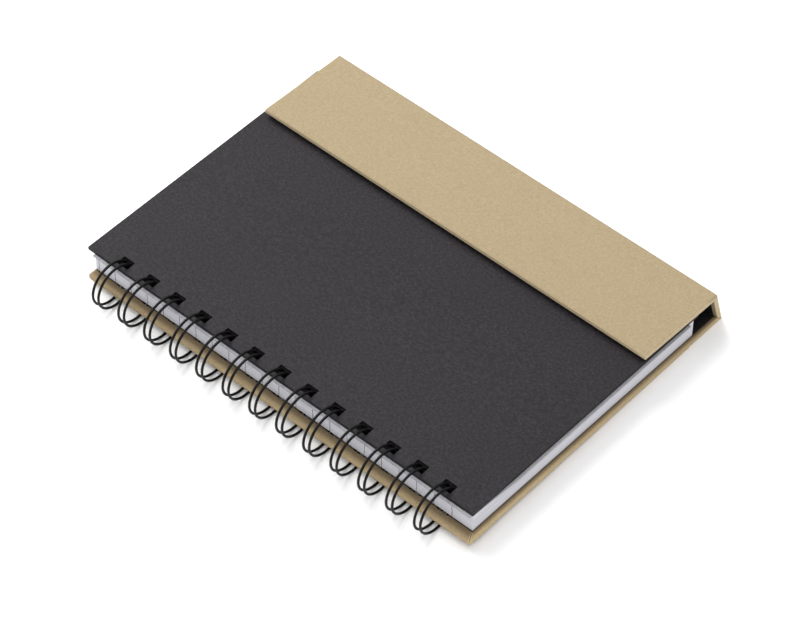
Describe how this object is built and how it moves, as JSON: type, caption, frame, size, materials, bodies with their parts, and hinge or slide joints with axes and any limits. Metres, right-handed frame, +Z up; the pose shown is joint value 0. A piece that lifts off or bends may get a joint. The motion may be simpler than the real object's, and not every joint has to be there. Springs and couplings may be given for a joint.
{
  "type": "spiral notebook",
  "caption": "Wire-bound notebook in a hard paper-covered case; on the side away from the wire loops a leaning spine board carries a flap that folds over the front cover",
  "frame": {"origin": "middle of the bottom of the whole, on the surface that the notebook lies on, under its wire loops and the far edge of its back board", "axes": "+X along the bound edge, +Y from the wire loops to the spine, +Z up"},
  "size_m": [0.183, 0.1484, 0.019],
  "materials": {
    "kraft_board": "matte, speckled brown paper over board",
    "lining_paper": "matte",
    "pages": "matte, stacked sheet edges",
    "grey_card": "matte",
    "cover_card": "matte, fine fibre grain",
    "coated_wire": "satin"
  },
  "bodies": {
    "book": {"back_board": "kraft_board", "back_lining": "lining_paper", "page_block": "pages", "divider_card": "grey_card", "front_cover": "cover_card", "wire_binding": "coated_wire"},
    "spine": {"spine_board": "kraft_board", "spine_lining": "lining_paper"},
    "flap": {"flap_board": "kraft_board", "flap_lining": "lining_paper"}
  },
  "joints": [
    {"name": "spine_fold", "type": "hinge", "parent": "book", "child": "spine", "pos_m": [0, 0.07425, 0], "axis": [-1, 0, 0], "range_deg": [0, 100]},
    {"name": "flap_fold", "type": "hinge", "parent": "spine", "child": "flap", "pos_m": [0, 0.06994, 0.0157], "axis": [-1, 0, 0], "range_deg": [0, 76]}
  ]
}
